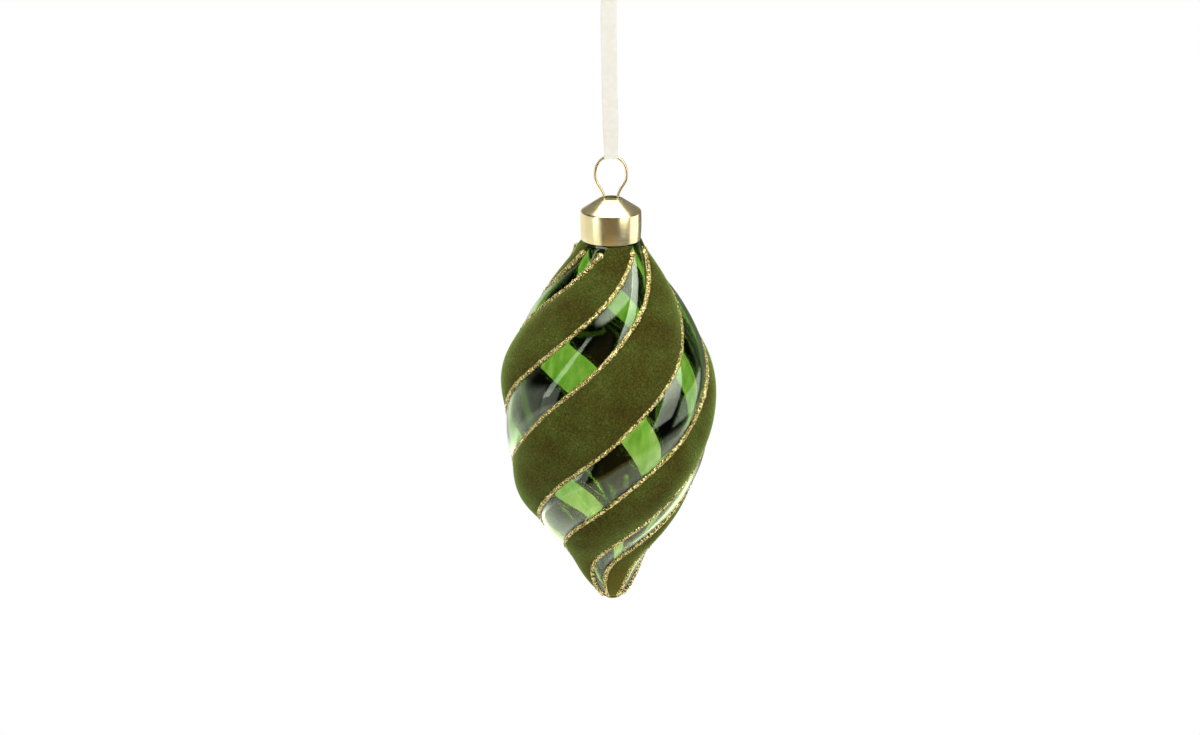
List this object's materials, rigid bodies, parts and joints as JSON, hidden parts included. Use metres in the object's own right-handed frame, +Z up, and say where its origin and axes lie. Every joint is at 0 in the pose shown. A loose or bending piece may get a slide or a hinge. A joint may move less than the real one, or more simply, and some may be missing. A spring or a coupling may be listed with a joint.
{
  "type": "twisted glass tree ornament",
  "caption": "hanging tree ornament: twisted blown glass body, flocked and clear lobes, glitter lines, metal cap, spring wire hanger and ribbon loop",
  "frame": {"origin": "the hanging point, inside the top of the ribbon loop and under its knot, on the vertical axis through the ring, cap and body", "axes": "+Z is up, along the ribbon and the body's axis. The hanger's ring lies in the XZ plane, and -Y is the side that the picture shows"},
  "size_m": [0.0711, 0.0706, 0.2269],
  "materials": {
    "green_glass": "blown, clear green, very glossy",
    "olive_flock": "velvet flocking, matt",
    "gold_glitter": "coarse glitter in clear glue, sparkling",
    "gold_cap": "pale gold plate, satin bright",
    "gold_wire": "copper-gold plate, bright",
    "cream_ribbon": "satin ribbon, soft sheen"
  },
  "bodies": {
    "ribbon": {"ribbon_loop": "cream_ribbon", "ribbon_knot": "cream_ribbon"},
    "hanger": {"wire_hanger": "gold_wire"},
    "metal_cap": {"cap": "gold_cap"},
    "bulb": {"glass_bulb": "green_glass", "flock_band_1": "olive_flock", "flock_band_2": "olive_flock", "flock_band_3": "olive_flock", "flock_band_4": "olive_flock", "glitter_line_1": "gold_glitter", "glitter_line_2": "gold_glitter", "glitter_line_3": "gold_glitter", "glitter_line_4": "gold_glitter", "glitter_line_5": "gold_glitter", "glitter_line_6": "gold_glitter", "glitter_line_7": "gold_glitter", "glitter_line_8": "gold_glitter"}
  },
  "joints": [
    {"name": "hanger_swing", "type": "hinge", "parent": "ribbon", "child": "hanger", "pos_m": [0, 0, -0.064], "axis": [1, 0, 0], "range_deg": [-40, 40]},
    {"name": "hanger_draw", "type": "slide", "parent": "hanger", "child": "metal_cap", "axis": [0, 0, 1], "range_m": [-0.004, 0]},
    {"name": "bulb_pull", "type": "slide", "parent": "metal_cap", "child": "bulb", "axis": [0, 0, 1], "range_m": [-0.024, 0]}
  ]
}
